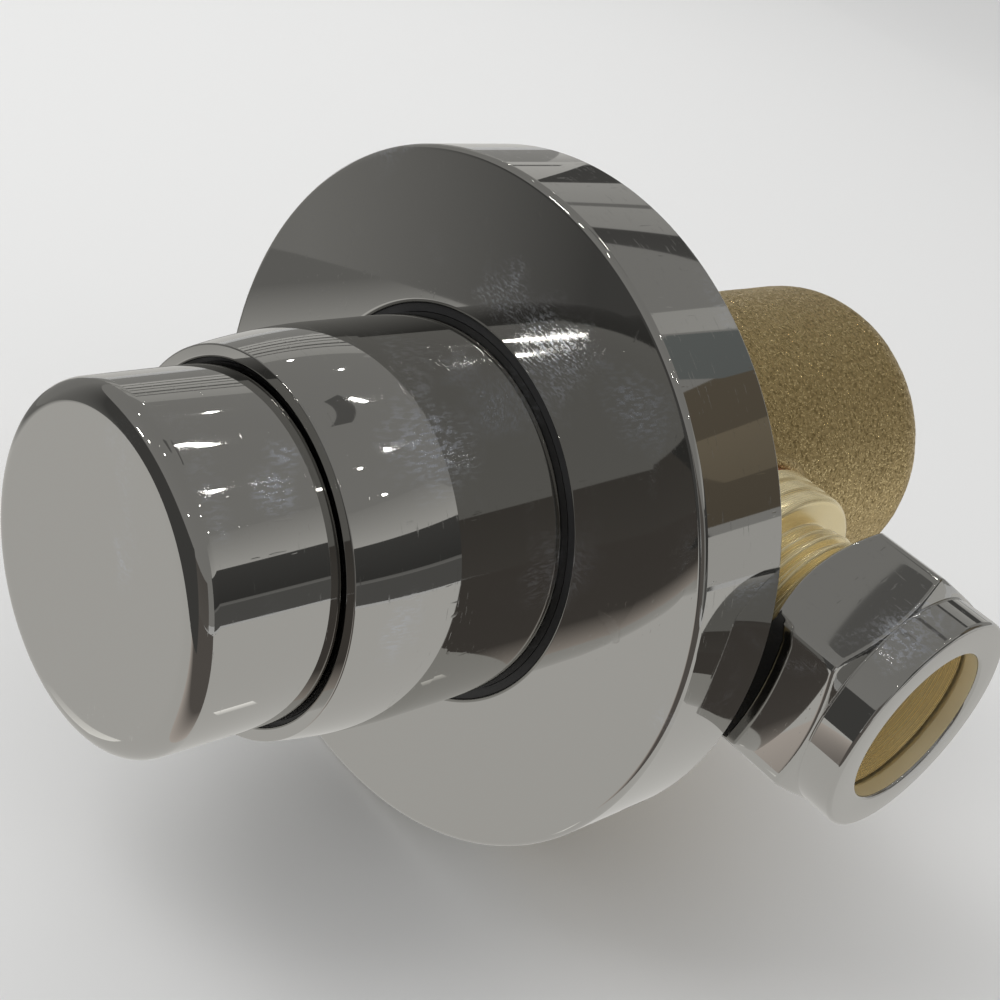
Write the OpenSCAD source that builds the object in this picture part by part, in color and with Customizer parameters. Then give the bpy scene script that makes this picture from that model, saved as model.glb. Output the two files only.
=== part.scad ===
// Timed shower valve: a push button closes itself again after a set time.
// The valve axis runs along Y and the button faces -Y. The wall plane is Y = 0, and what is
// behind it is built into the wall. The two pipe connections point to +X and -X.
// Profiles are drawn as [radius, h], where h is the distance in front of the wall plane.

/* [Button] */
// Outer diameter of the push button
button_d = 42; // [36:0.5:44]
// Distance that the button stands out of the collar at rest
button_out = 18; // [14:0.5:24]
// Depth of the button's skirt inside the collar at rest
button_in = 4; // [3.5:0.5:5]
// Wall of the button's skirt
button_wall = 1.6; // [1.2:0.1:2.2]
// Thickness of the button's face
button_face_t = 2.4; // [1.8:0.1:3]
// Rounding round the button's face
button_edge_r = 2.6; // [1:0.1:3.2]
// Depth of the shallow dish in the button's face
button_dish = 0.4; // [0.2:0.05:0.6]
// Travel of the button
stroke = 8; // [5:0.5:8]

/* [Front collar] */
// Outer diameter of the collar
collar_d = 49; // [48:0.25:52]
// Distance from the wall plane to the collar's front
collar_front = 45; // [44:0.5:52]
// Width of the collar's front face, between its mouth and its tapered nose
nose_wall = 1.6; // [1.2:0.1:2]
// Length of the tapered nose
nose_len = 14; // [8:0.5:16]
// Radius of the nose's slightly bulging side
nose_arc_r = 90; // [60:5:200]
// Rounding of the collar's front edges
collar_edge_r = 0.35; // [0.1:0.05:0.5]
// Radial gap between the button and the collar's mouth
button_gap = 0.5; // [0.4:0.05:0.7]

/* [Wall flange] */
// Outer diameter of the flange
flange_d = 90; // [84:1:110]
// Depth of the flange's cup
flange_depth = 14.4; // [13:0.2:18]
// Thickness of the flange's face
flange_face_t = 1.8; // [1.2:0.1:2.4]
// Thickness of the flange's rim
flange_rim_t = 1.5; // [1:0.1:2.2]
// Rounding of the flange's front edge
flange_edge_r = 0.8; // [0.4:0.1:1.2]
// Rounding of the flange's inner edge beside the collar
flange_lip_r = 0.6; // [0.3:0.1:0.8]
// Radial gap between the collar and the flange's bore
flange_gap = 1.1; // [0.8:0.1:1.6]
// Length of the hub behind the flange's face
hub_len = 5.4; // [5:0.2:8]
// Wall of the flange's hub
hub_t = 2.6; // [2.2:0.1:3.5]
// Thickness of the foam gasket in the rim
gasket_t = 3; // [2:0.5:5]
// Width of the foam gasket
gasket_w = 5; // [4:0.5:8]

/* [Valve body] */
// Outer diameter of the cast body
body_d = 46.6; // [46:0.2:48.4]
// Distance from the wall plane to the body's rear end
body_depth = 74; // [73:0.5:85]
// Radius of the rounding at the body's rear end
body_corner_r = 9; // [6:0.5:10]
// Radius of the crown of the body's rear end
body_crown_r = 45; // [35:1:80]
// Distance from the wall plane to the body's machined front end
body_front = 29; // [28.6:0.1:29.6]
// Diameter of the bore that the cartridge fits
body_bore_d = 37.2; // [36.6:0.1:37.6]
// Depth of the cartridge bore behind the wall plane
body_bore_depth = 64.3; // [64.1:0.1:65.5]
// Wall of the body's threaded neck inside the collar
neck_wall = 2.3; // [2.1:0.05:2.4]

/* [Pipe connections] */
// Distance from the wall plane back to the pipe axis
port_depth = 18.9; // [18.85:0.05:19.3]
// Outer diameter of the pipe that the fittings take
pipe_d = 22; // [21.9:0.05:22.1]
// Radial clearance round the pipe
pipe_gap = 0.1; // [0.06:0.01:0.15]
// Diameter of the waterway behind the pipe socket
waterway_d = 18; // [15:0.5:18.5]
// Diameter of the spigot's thread
thread_d = 26.2; // [25.8:0.1:26.6]
// Length of the spigot's thread
spigot_thread_len = 17; // [16:0.25:19]
// Diameter of the spigot's collar
spigot_collar_d = 32.4; // [30:0.2:33]
// Length of the spigot's collar
spigot_collar_len = 7.2; // [5:0.2:7.6]
// Depth of the pipe socket
socket_depth = 13.5; // [12:0.5:15]
// Diameter of the cast boss that the spigot is screwed into
boss_d = 34.6; // [33.4:0.2:36]
// Distance that the boss stands out of the cast body
boss_stand = 0.9; // [0.6:0.1:1.5]
// Wall left between the cartridge bore and the bottom of the boss's counterbore
boss_floor_wall = 2.1; // [1.8:0.1:2.4]

/* [Compression nuts] */
// Width of the nut across its flats
nut_af = 32; // [30.5:0.1:32]
// Angle that the nut stands at
nut_turn = 0; // [0:1:59]
// Length of the nut's hexagon
nut_hex_len = 13; // [12:0.25:14]
// Length of the round neck in front of the hexagon
nut_neck_len = 5.2; // [4.5:0.1:6]
// Diameter of the round neck
nut_neck_d = 31.4; // [30:0.1:31.8]
// Length of the nut's thread and its run-out
nut_thread_len = 13.8; // [13.6:0.1:14.2]
// Axial length of the chamfer at the hexagon's rear corners
nut_rear_chamfer = 2.4; // [1:0.1:3]
// Axial length of the chamfer at the hexagon's front corners
nut_front_chamfer = 1.5; // [0.6:0.1:2]
// Length of the brass olive
olive_len = 5.2; // [4.5:0.1:5.4]
// Thickness of the olive at its middle
olive_t = 1.6; // [1.2:0.1:1.9]

/* [Cartridge] */
// Diameter of the valve stem
stem_d = 8; // [7:0.25:9]
// Diameter of the stem's thin rear part
stem_tail_d = 6; // [5.4:0.1:6.4]
// Diameter of the hole in the valve seat
seat_d = 15; // [13:0.25:16]
// Diameter of the rubber seat washer
washer_d = 20.8; // [20:0.1:22]
// Thickness of the rubber seat washer
washer_t = 3.2; // [2.5:0.1:3.6]
// Diameter of the chamber that times the closing
chamber_d = 30; // [29:0.25:31]
// Inner diameter of the sleeve's water chambers
sleeve_d = 26.4; // [25:0.2:27]
// Thickness of the piston
piston_t = 7; // [6.5:0.1:7.5]
// Diameter of the spring's wire
spring_wire_d = 1.2; // [0.8:0.1:1.4]
// Mean diameter of the spring
spring_d = 19.2; // [17:0.2:21]
// Turns of the spring
spring_turns = 6; // [4:0.5:6]
// Section of the cartridge's sealing rings
ring_section = 1.7; // [1.4:0.1:1.8]

/* [Fits] */
// Radial clearance of parts that slide on each other
run_gap = 0.05; // [0.02:0.01:0.08]
// Clearance of parts that are screwed or pressed together
seat_gap = 0.02; // [0.01:0.01:0.04]

/* [Hidden] */

$fn = 96;
// Overlap that lets a cut pass its surface
cut = 0.5;

chrome = "gainsboro";
cast_brass = "darkgoldenrod";
bright_brass = "gold";
steel = "silver";
rubber = "dimgray";
acetal = "ivory";

button_r = button_d / 2;
button_front = collar_front + button_out;
button_rear = collar_front - button_in;
button_inner_r = button_r - button_wall;
button_floor = button_front - button_face_t;
dish_flat_r = button_r - button_edge_r;

collar_r = collar_d / 2;
mouth_r = button_r + button_gap;
nose_r = mouth_r + nose_wall;
nose_rear = collar_front - nose_len;
body_r = body_d / 2;
// Rear end of the collar, which meets the shoulder of the cast body
collar_rear = 2.3;
// Gap between the collar and the shoulder of the body
collar_seat_gap = 0.3;
neck_bore_r = 20.45;
neck_r = neck_bore_r + neck_wall;
collar_bore_r = neck_r + run_gap;
collar_step = body_front + 9;
guide_rear = button_rear + 0.3;
guide_len = 2.5;
guide_front = guide_rear + guide_len;
// Depth of the groove that holds the guide ring in the collar's mouth
guide_groove_depth = 0.85;
guide_outer_r = mouth_r + guide_groove_depth;

flange_r = flange_d / 2;
flange_bore_r = collar_r + flange_gap;
flange_inner_r = flange_r - flange_rim_t;
hub_rear = flange_depth - flange_face_t - hub_len;
flange_groove_depth = 1.2;
ring_seal_rear = hub_rear + 1.4;
ring_seal_len = 3.4;
// Depth of the sealing ring's edge behind the flange's face
ring_seal_inset = 0.45;
ring_seal_front = flange_depth - ring_seal_inset;

body_bore_r = body_bore_d / 2;
// Seat of the sleeve's rim inside the body
sleeve_seat = 9.8;
sleeve_top = 12.2;
rim_r = neck_bore_r - seat_gap;
port_offset = 5.6;
port_hole_r = 3.4;
boss_r = boss_d / 2;
boss_edge_r = 1;
waterway_r = waterway_d / 2;
boss_reach = body_r + boss_stand;
plug_wall = 2.42;
counterbore_r = waterway_r + plug_wall;
counterbore_floor = body_bore_r + boss_floor_wall;

head_flange_t = 3;
head_front = body_front + head_flange_t;
head_wall = 3.2;
head_plate = 5;
gland_r = 6;
gland_wall = 3;
gland_rear = 18;
stem_r = stem_d / 2;
head_ring_level = sleeve_top + 4;
head_edge_r = 0.6;
// Distance that the head's flange stays inside the outside of the neck
head_inset = 0.4;
head_outer_r = neck_r - head_inset;
head_slot_w = 3;
head_slot_depth = 1.8;
head_slot_len = 3;
retainer_len = 1.5;
retainer_gap = 0.1;
stem_seal_section = gland_r - stem_r - run_gap;
// Axial play of the seal between its retainer and the bush
stem_seal_play = 0.1;
stem_seal_level = gland_rear + retainer_len + stem_seal_play + stem_seal_section / 2;
bush_rear = stem_seal_level + stem_seal_section / 2 + stem_seal_play;

sleeve_outer_r = body_bore_r - run_gap;
sleeve_rear = -body_bore_depth + 0.3;
sleeve_inner_r = sleeve_d / 2;
front_inner_r = sleeve_inner_r + 0.8;
chamber_r = chamber_d / 2;
chamber_front = -33;
seat_r = seat_d / 2;
seat_front = -16;
seat_rear = -20.4;
seat_lip_w = 1.5;
seat_lip_h = 0.8;
gallery_depth = 2.3;
gallery_len = 7.4;
front_gallery = -port_depth + port_offset;
rear_gallery = -port_depth - port_offset;
window_r = 2.6;
window_count = 6;
o_ring_groove_w = ring_section + 0.5;
front_ring_level = sleeve_seat - 6.8;
rear_ring_level = chamber_front - 1.8;
o_ring_levels = [front_ring_level, -port_depth, rear_ring_level];
cap_t = 3.6;
cap_front = sleeve_rear + cap_t;
cap_r = chamber_r + 1.2;

washer_front = seat_rear - 0.1;
washer_rear = washer_front - washer_t;
holder_plate_t = 2;
holder_nose_r = seat_r - 0.9;
holder_nose_len = 2.2;
holder_rear = washer_rear - holder_plate_t;
washer_nut_af = 10;
washer_nut_t = 3.2;
holder_edge = 0.8;
tail_r = stem_tail_d / 2;
piston_front = chamber_front - 1;
piston_rear = piston_front - piston_t;
piston_boss_r = 6.4;
piston_boss_len = 3;
piston_gap = 0.5;
piston_r = chamber_r - piston_gap;
piston_edge_r = 0.6;
lip_inner_r = chamber_r - 2.8;
lip_len = 3.4;
lip_front = piston_front - 1.8;
// The lip touches the chamber between these distances from the seal's rear
lip_from = 0.7;
lip_to = 1.5;
lip_relief = 0.9;
clip_t = 1;
clip_ring_w = 2.2;
clip_mouth_w = 2.8;
clip_front = piston_rear - piston_boss_len;
stem_rear = clip_front - clip_t - 1;
screw_head_t = 2;
screw_head_gap = 0.2;
screw_hole_gap = 0.1;
screw_head_r = 3.6;
screw_r = 2;
screw_len = 8;
hub_plate_t = 2.8;
hub_rim_t = 1.4;
hub_rim_len = 7;
hub_boss_len = 14;
hub_boss_wall = 3;
hub_ribs = 6;
hub_rib_t = 1.6;
// Thickness of the hub between the screw's head and the stem's end
hub_web = 1.9;
stem_front = button_floor - screw_head_t - screw_head_gap - hub_web;
pin_r = 0.95;
pin_gap = 0.15;
pin_lap = 3;
pin_bore_len = pin_lap + stroke + 1.2;
cap_boss_r = 5.5;
cap_boss_len = 2.2;
cap_edge_r = 0.6;
spring_end_gap = 0.1;

thread_r = thread_d / 2;
socket_r = pipe_d / 2 + pipe_gap;
fibre_t = 0.8;
spigot_collar_rear = boss_reach + fibre_t;
spigot_collar_front = spigot_collar_rear + spigot_collar_len;
spigot_collar_r = spigot_collar_d / 2;
restrictor_t = 4;
screen_rim_t = 0.8;
screen_rim_r = waterway_r + 1;
relief_len = 1.8;
relief_r = thread_r - 0.9;
mouth_cone = 1.5;
// Distance that the spigot's plug stays above the bottom of the counterbore
plug_gap = 0.2;
spigot_edge_r = 0.6;
spigot_grooves = 2;
spigot_groove_r = 0.45;
insert_gap = 0.1;
spigot_reach = spigot_collar_front + relief_len + spigot_thread_len;
socket_floor = spigot_reach - socket_depth;
// Rear of the step that an insert's rim lies in, under the pipe's end
screen_seat = socket_floor - screen_rim_t - insert_gap;

// Length of the spigot's thread that the nut covers when it is tight
nut_lap = 10.8;
nut_rear = spigot_reach - nut_lap;
nut_hex_front = nut_rear + nut_hex_len;
nut_front = nut_hex_front + nut_neck_len;
nut_corner_r = nut_af / sqrt(3);
thread_gap = 0.12;
nut_bore_r = thread_r + thread_gap;
nut_cone_rear = nut_rear + nut_thread_len;
nut_cone_front = nut_cone_rear + nut_bore_r - socket_r;
// Distance that the olive's end lies inside the spigot's mouth
olive_lap = 0.9;
olive_rear = spigot_reach - olive_lap;
olive_front = olive_rear + olive_len;
// Thickness of the olive's thin ends, and the share of its length that the thick middle takes
olive_end_t = 0.35;
olive_crown = 0.16;

// Distance that the chamfer at the hexagon's ends begins inside the flats
nut_face_inset = 0.5;
nut_cone_over = 0.2;
nut_neck_edge_r = 0.6;
nut_bore_edge_r = 0.8;
nut_mouth_edge_r = 0.4;

// A solid turned round the valve axis from an outline of [radius, h] points
module turned() rotate([90, 0, 0]) rotate_extrude() children();

// A solid turned round the pipe axis, from an outline of [radius, distance from the valve axis]
module piped(side) translate([0, port_depth, 0]) rotate([0, side * 90, 0]) rotate_extrude() children();

// A rectangle from one corner to the opposite one
module span(from, to) translate(from) square(to - from);

// What fills the square corner outside a rounding of radius r; dir points to the corner
module corner_cut(corner, dir, r) {
    centre = [corner[0] - dir[0] * r, corner[1] - dir[1] * r];
    difference() {
        span([min(centre[0], corner[0] + dir[0] * cut), min(centre[1], corner[1] + dir[1] * cut)],
            [max(centre[0], corner[0] + dir[0] * cut), max(centre[1], corner[1] + dir[1] * cut)]);
        translate(centre) circle(r);
    }
}

// A sealing ring of round section
module o_ring(inner_r, h, section) turned() translate([inner_r + section / 2, h]) circle(d = section);

// Centre of the circle of radius r through two points, on the left of the way from a to b
function arc_centre(a, b, r) = let (m = (a + b) / 2, d = b - a, n = [-d[1], d[0]] / norm(d))
    m + n * sqrt(r * r - norm(d) * norm(d) / 4);

module push_button() color(chrome) turned() {
    dish_r = (dish_flat_r * dish_flat_r + button_dish * button_dish) / (2 * button_dish);
    difference() {
        span([0, button_rear], [button_r, button_front]);
        span([-cut, button_rear - cut], [button_inner_r, button_floor]);
        corner_cut([button_r, button_front], [1, 1], button_edge_r);
        translate([0, button_front - button_dish + dish_r]) circle(dish_r, $fn = 720);
    }
}

module button_hub() color(rubber) {
    hub_r = button_inner_r - seat_gap;
    hub_front = button_floor - seat_gap;
    boss_rear = button_floor - hub_boss_len;
    boss_outer_r = stem_r + hub_boss_wall;
    turned() difference() {
        union() {
            span([0, hub_front - hub_plate_t], [hub_r, hub_front]);
            span([hub_r - hub_rim_t, hub_front - hub_rim_len], [hub_r, hub_front]);
            span([0, boss_rear], [boss_outer_r, hub_front]);
        }
        span([-cut, boss_rear - cut], [stem_r + seat_gap, stem_front + seat_gap]);
        span([-cut, hub_front - screw_head_t - screw_head_gap],
            [screw_head_r + 2 * screw_head_gap, hub_front + cut]);
        span([-cut, stem_front], [screw_r + screw_hole_gap, hub_front]);
    }
    for (i = [0:hub_ribs - 1]) rotate([0, i * 360 / hub_ribs, 0])
        translate([boss_outer_r - cut, -hub_front + hub_plate_t - cut, -hub_rib_t / 2])
            cube([hub_r - hub_rim_t - boss_outer_r + 2 * cut, hub_rim_len - hub_plate_t, hub_rib_t]);
}

module hub_screw() color(steel) turned() {
    head_front = button_floor - screw_head_gap;
    difference() {
        union() {
            span([0, head_front - screw_head_t], [screw_head_r, head_front]);
            span([0, stem_front - screw_len], [screw_r, head_front]);
        }
        span([-cut, head_front - screw_head_t / 2], [screw_head_r / 3, head_front + cut]);
    }
}

module front_collar() color(chrome) turned() {
    bulge = arc_centre([collar_r, nose_rear], [nose_r, collar_front], nose_arc_r);
    difference() {
        union() {
            span([mouth_r, collar_rear], [collar_r, nose_rear]);
            intersection() {
                span([mouth_r, nose_rear], [collar_r, collar_front]);
                translate(bulge) circle(nose_arc_r, $fn = 720);
            }
        }
        span([0, collar_rear - cut], [collar_bore_r, collar_step]);
        span([0, guide_rear - seat_gap], [guide_outer_r + seat_gap, guide_front + seat_gap]);
        corner_cut([mouth_r, collar_front], [-1, 1], collar_edge_r);
    }
}

module collar_guide_ring() color("black") turned()
    span([button_r + run_gap, guide_rear], [guide_outer_r, guide_front]);

module wall_flange() color(chrome) turned() difference() {
    union() {
        span([flange_bore_r, flange_depth - flange_face_t], [flange_r, flange_depth]);
        span([flange_inner_r, 0], [flange_r, flange_depth]);
        span([flange_bore_r, hub_rear], [flange_bore_r + hub_t, flange_depth]);
    }
    span([flange_bore_r - cut, ring_seal_rear - seat_gap],
        [flange_bore_r + flange_groove_depth, ring_seal_rear + ring_seal_len + seat_gap]);
    corner_cut([flange_r, flange_depth], [1, 1], flange_edge_r);
    corner_cut([flange_bore_r, flange_depth], [-1, 1], flange_lip_r);
}

module flange_ring_seal() color("black") turned() union() {
    span([collar_r + run_gap, ring_seal_rear],
        [flange_bore_r + flange_groove_depth - seat_gap, ring_seal_rear + ring_seal_len]);
    span([collar_r + run_gap, ring_seal_rear], [flange_bore_r - seat_gap, ring_seal_front]);
}

module flange_gasket() color("black") turned()
    span([flange_inner_r - gasket_w, 0], [flange_inner_r - seat_gap, gasket_t]);

// The outside of the cast body: a cylinder with a crowned end and a machined neck in front
module body_outline() {
    corner = [body_r - body_corner_r, -body_depth + body_corner_r + end_rise()];
    crown = -body_depth + body_crown_r;
    toward = corner - [0, crown];
    far = toward / norm(toward) * 2 * body_crown_r;
    span([0, corner[1]], [body_r, collar_rear - collar_seat_gap]);
    span([0, 0], [neck_r, body_front]);
    translate(corner) circle(body_corner_r);
    intersection() {
        translate([0, crown]) circle(body_crown_r, $fn = 240);
        polygon([[0, crown], [0, crown - 2 * body_crown_r], [far[0], crown + far[1]]]);
    }
}

// How far the crown rises from the body's end to the level of its rounded corner
function end_rise() = body_crown_r - body_corner_r
    - sqrt(pow(body_crown_r - body_corner_r, 2) - pow(body_r - body_corner_r, 2));

module valve_body() color(cast_brass) difference() {
    union() {
        turned() intersection() {
            body_outline();
            span([0, -body_depth - cut], [body_r, body_front]);
        }
        for (side = [-1, 1]) piped(side) difference() {
            span([0, 0], [boss_r, boss_reach]);
            corner_cut([boss_r, boss_reach], [1, 1], boss_edge_r);
        }
    }
    turned() {
        span([0, -body_bore_depth], [body_bore_r, body_front + cut]);
        span([0, sleeve_seat], [neck_bore_r, body_front + cut]);
    }
    for (side = [-1, 1]) {
        piped(side) span([0, counterbore_floor], [counterbore_r, boss_reach + cut]);
        translate([0, port_depth + side * port_offset, 0]) rotate([0, side * 90, 0])
            cylinder(r = port_hole_r, h = counterbore_floor + cut);
    }
}

module cartridge_head() color(bright_brass) difference() {
    turned() difference() {
        union() {
            span([0, sleeve_top], [rim_r, body_front]);
            span([0, body_front], [head_outer_r, head_front]);
        }
        span([gland_r + gland_wall, sleeve_top - cut], [rim_r - head_wall, head_front - head_plate]);
        span([-cut, sleeve_top - cut], [gland_r + gland_wall + cut, gland_rear]);
        span([-cut, gland_rear - cut], [gland_r + seat_gap, head_front + cut]);
        translate([rim_r, head_ring_level]) square([2 * ring_section, o_ring_groove_w], center = true);
        corner_cut([head_outer_r, head_front], [1, 1], head_edge_r);
    }
    // Four slots for the key that screws the head in
    for (i = [0:3]) rotate([0, i * 90, 0])
        translate([head_outer_r - head_slot_len, -head_front - cut, -head_slot_w / 2])
            cube([head_slot_len + cut, head_slot_depth + cut, head_slot_w]);
}

module head_o_ring() color("black") o_ring(rim_r - ring_section, head_ring_level, ring_section);

module stem_bush() color(acetal) turned() span([stem_r + run_gap, bush_rear], [gland_r, head_front]);

module stem_seal() color("black") turned()
    translate([gland_r - stem_seal_section / 2, stem_seal_level]) circle(d = stem_seal_section);

module seal_retainer() color(bright_brass) turned()
    span([stem_r + retainer_gap, gland_rear], [gland_r, gland_rear + retainer_len]);

module cartridge_sleeve() color(acetal) difference() {
    turned() difference() {
        union() {
            span([0, sleeve_rear], [sleeve_outer_r, sleeve_top]);
            span([0, sleeve_seat], [rim_r, sleeve_top]);
        }
        span([-cut, seat_front], [front_inner_r, sleeve_top + cut]);
        span([-cut, seat_rear - cut], [seat_r, seat_front + cut]);
        difference() {
            span([-cut, chamber_front - cut], [sleeve_inner_r, seat_rear + seat_lip_h]);
            span([seat_r, seat_rear], [seat_r + seat_lip_w, seat_rear + seat_lip_h + cut]);
        }
        span([-cut, sleeve_rear - cut], [chamber_r, chamber_front]);
        span([-cut, sleeve_rear - cut], [cap_r + seat_gap, cap_front]);
        for (level = o_ring_levels)
            translate([sleeve_outer_r, level]) square([2 * ring_section, o_ring_groove_w], center = true);
        for (level = [front_gallery, rear_gallery])
            translate([sleeve_outer_r, level]) square([2 * gallery_depth, gallery_len], center = true);
    }
    for (level = [front_gallery, rear_gallery]) for (i = [0:window_count - 1])
        rotate([0, i * 360 / window_count, 0]) translate([0, -level, 0]) rotate([0, 90, 0])
            cylinder(r = window_r, h = sleeve_outer_r);
}

module sleeve_o_rings() color("black") for (level = o_ring_levels)
    o_ring(body_bore_r - seat_gap - ring_section, level, ring_section);

module valve_stem() color(steel) turned() difference() {
    union() {
        span([0, washer_front + holder_nose_len], [stem_r, stem_front]);
        span([0, stem_rear], [tail_r, stem_front]);
    }
    span([-cut, stem_rear - cut], [pin_r + pin_gap, stem_rear + pin_bore_len]);
    span([-cut, stem_front - screw_len - 1], [screw_r + seat_gap, stem_front + cut]);
}

module washer_holder() color(bright_brass) turned() difference() {
    union() {
        span([0, washer_rear], [holder_nose_r, washer_front + holder_nose_len]);
        span([0, holder_rear], [washer_d / 2 + holder_edge, washer_rear]);
    }
    span([-cut, holder_rear - cut], [tail_r + seat_gap, washer_front + holder_nose_len + cut]);
}

module seat_washer() color("black") turned()
    span([holder_nose_r + seat_gap, washer_rear], [washer_d / 2, washer_front]);

module washer_nut() color(bright_brass) rotate([90, 0, 0]) translate([0, 0, holder_rear - washer_nut_t])
    difference() {
        cylinder(r = washer_nut_af / sqrt(3), h = washer_nut_t, $fn = 6);
        translate([0, 0, -cut]) cylinder(r = tail_r + seat_gap, h = washer_nut_t + 2 * cut);
    }

module piston() color(acetal) turned() difference() {
    union() {
        span([0, piston_rear], [piston_r, piston_front]);
        span([0, clip_front], [piston_boss_r, piston_rear]);
    }
    span([-cut, clip_front - cut], [tail_r + seat_gap, piston_front + cut]);
    span([lip_inner_r, lip_front - lip_len - seat_gap], [chamber_r + cut, lip_front + seat_gap]);
    corner_cut([piston_r, piston_front], [1, 1], piston_edge_r);
}

module lip_seal() color("black") turned() polygon([
    [lip_inner_r + seat_gap, lip_front - lip_len],
    [chamber_r - lip_relief, lip_front - lip_len],
    [chamber_r - run_gap, lip_front - lip_len + lip_from],
    [chamber_r - run_gap, lip_front - lip_len + lip_to],
    [chamber_r - lip_relief, lip_front], [lip_inner_r + seat_gap, lip_front]]);

module piston_clip() color(steel) rotate([90, 0, 0]) translate([0, 0, clip_front - clip_t]) difference() {
    cylinder(r = tail_r + clip_ring_w, h = clip_t);
    translate([0, 0, -cut]) cylinder(r = tail_r + seat_gap, h = clip_t + 2 * cut);
    translate([-clip_mouth_w / 2, 0, -cut])
        cube([clip_mouth_w, tail_r + clip_ring_w + cut, clip_t + 2 * cut]);
}

// Points of a coil: rings of a round wire along a helix about the valve axis
spring_rear = cap_front + spring_end_gap + spring_wire_d / 2;
spring_len = piston_rear - spring_end_gap - spring_wire_d / 2 - spring_rear;
rings_per_turn = 8;
wire_sides = 6;
spring_steps = spring_turns * rings_per_turn;
function coil_point(t) = let (a = t * spring_turns * 360)
    [spring_d / 2 * cos(a), -(spring_rear + t * spring_len), spring_d / 2 * sin(a)];
function wire_point(t, k) =
    let (a = t * spring_turns * 360, b = k * 360 / wire_sides, w = spring_wire_d / 2)
    coil_point(t) + w * [cos(b) * cos(a), sin(b), cos(b) * sin(a)];
echo(least_gap_between_spring_turns = spring_len / spring_turns - spring_wire_d);

module return_spring() color(steel) {
    last = spring_steps * wire_sides;
    rows = [for (i = [0:spring_steps - 1]) for (k = [0:wire_sides - 1])
        let (a = i * wire_sides + k, b = i * wire_sides + (k + 1) % wire_sides)
        each [[a, a + wire_sides, b], [b, a + wire_sides, b + wire_sides]]];
    polyhedron(
        points = [for (i = [0:spring_steps]) for (k = [0:wire_sides - 1]) wire_point(i / spring_steps, k)],
        faces = concat(rows, [[for (k = [0:wire_sides - 1]) k]],
            [[for (k = [0:wire_sides - 1]) last + wire_sides - 1 - k]]));
}

module sleeve_end_cap() color(acetal) turned() difference() {
    union() {
        span([0, sleeve_rear], [cap_r, cap_front]);
        span([0, cap_front], [cap_boss_r, cap_front + cap_boss_len]);
    }
    span([-cut, sleeve_rear - cut], [pin_r + seat_gap, cap_front + cap_boss_len + cut]);
    corner_cut([cap_r, sleeve_rear], [1, -1], cap_edge_r);
}

module metering_pin() color(steel) turned() span([0, sleeve_rear], [pin_r, stem_rear + pin_lap]);

module spigot(side) color(bright_brass) piped(side) difference() {
    union() {
        span([0, counterbore_floor + plug_gap], [counterbore_r - seat_gap, spigot_collar_rear + cut]);
        span([0, spigot_collar_rear], [spigot_collar_r, spigot_collar_front]);
        span([0, spigot_collar_front], [relief_r, spigot_collar_front + relief_len]);
        span([0, spigot_collar_front + relief_len], [thread_r, spigot_reach]);
    }
    span([-cut, counterbore_floor], [waterway_r, spigot_reach + cut]);
    span([-cut, socket_floor], [socket_r, spigot_reach + cut]);
    span([-cut, screen_seat], [screen_rim_r + insert_gap, socket_floor + cut]);
    polygon([[0, spigot_reach - mouth_cone], [socket_r, spigot_reach - mouth_cone],
        [socket_r + mouth_cone + cut, spigot_reach + cut], [0, spigot_reach + cut]]);
    for (i = [1:spigot_grooves])
        translate([spigot_collar_r, spigot_collar_rear + spigot_collar_len * i / (spigot_grooves + 1)])
            circle(spigot_groove_r);
    corner_cut([spigot_collar_r, spigot_collar_front], [1, 1], spigot_edge_r);
    corner_cut([spigot_collar_r, spigot_collar_rear], [1, -1], spigot_edge_r);
}

module inlet_spigot() spigot(1);
module outlet_spigot() spigot(-1);

module spigot_washers() color("sienna") for (side = [-1, 1]) piped(side)
    span([counterbore_r + seat_gap, boss_reach], [spigot_collar_r - spigot_edge_r, spigot_collar_rear]);

module inlet_strainer() color(steel) {
    basket_r = waterway_r - 0.6;
    basket_end = spigot_collar_rear + 2;
    screen_t = 0.6;
    hole_r = 0.6;
    hole_pitch = 2.1;
    difference() {
        piped(1) {
            span([basket_r - screen_t, screen_seat], [screen_rim_r, screen_seat + screen_rim_t]);
            span([basket_r - screen_t, basket_end], [basket_r, screen_seat + screen_rim_t]);
            span([0, basket_end], [basket_r, basket_end + screen_t]);
        }
        for (ring = [1:3]) for (i = [0:ring * 6 - 1]) translate([basket_end - cut, port_depth, 0])
            rotate([i * 60 / ring, 0, 0]) translate([0, ring * hole_pitch, 0]) rotate([0, 90, 0])
                cylinder(r = hole_r, h = screen_t + 2 * cut, $fn = 16);
    }
}

module flow_restrictor() color("mediumseagreen") piped(-1) difference() {
    orifice_r = 1.6;
    orifice_wall = 1.8;
    restrictor_front = screen_seat + screen_rim_t;
    restrictor_rear = restrictor_front - restrictor_t;
    union() {
        span([0, restrictor_rear], [waterway_r - seat_gap, restrictor_front]);
        span([0, screen_seat], [screen_rim_r, restrictor_front]);
    }
    span([-cut, restrictor_rear - cut], [orifice_r, restrictor_front + cut]);
    span([orifice_r + orifice_wall, restrictor_front - restrictor_t / 3],
        [waterway_r - orifice_r, restrictor_front + cut]);
}

module olive(side) color(bright_brass) piped(side) polygon([
    [socket_r, olive_rear], [socket_r + olive_end_t, olive_rear],
    [socket_r + olive_t, olive_rear + olive_len * (1 - olive_crown) / 2],
    [socket_r + olive_t, olive_front - olive_len * (1 - olive_crown) / 2],
    [socket_r + olive_end_t, olive_front], [socket_r, olive_front]]);

module inlet_olive() olive(1);
module outlet_olive() olive(-1);

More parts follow.
